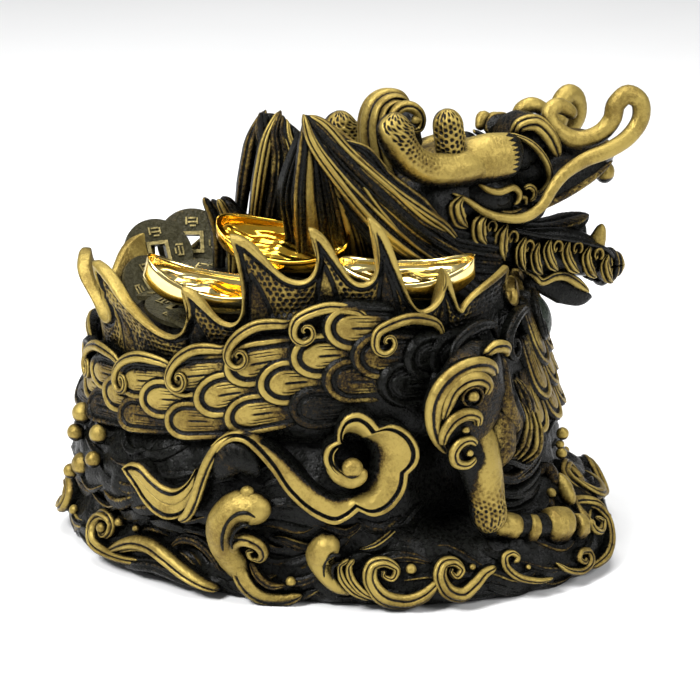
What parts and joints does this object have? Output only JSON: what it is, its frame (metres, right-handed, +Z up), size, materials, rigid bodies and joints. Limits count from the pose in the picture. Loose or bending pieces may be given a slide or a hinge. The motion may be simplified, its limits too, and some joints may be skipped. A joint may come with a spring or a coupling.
{
  "type": "dragon treasure bowl figurine",
  "caption": "Cast dragon whose coiled, scaled body forms a bowl with a fin-crested rim on a plinth of waves, with boat ingots lying in the bowl.",
  "frame": {"origin": "on the flat underside, under the middle of the plinth", "axes": "+Z up, +X towards the dragon's snout, -Y towards the front with the cloud, which is the side the picture shows"},
  "size_m": [0.1851, 0.1474, 0.1417],
  "materials": {
    "antique_gold": "cast resin painted black, with antique gold rubbed over the raised carving, satin",
    "pale_gold_plate": "bright plated metal, mirror gloss, embossed",
    "deep_gold_plate": "bright orange-gold plated metal, mirror gloss, embossed"
  },
  "bodies": {
    "root": {"dragon_casting": "antique_gold", "left_ingot": "pale_gold_plate", "middle_ingot": "deep_gold_plate", "right_ingot": "pale_gold_plate"}
  },
  "joints": []
}
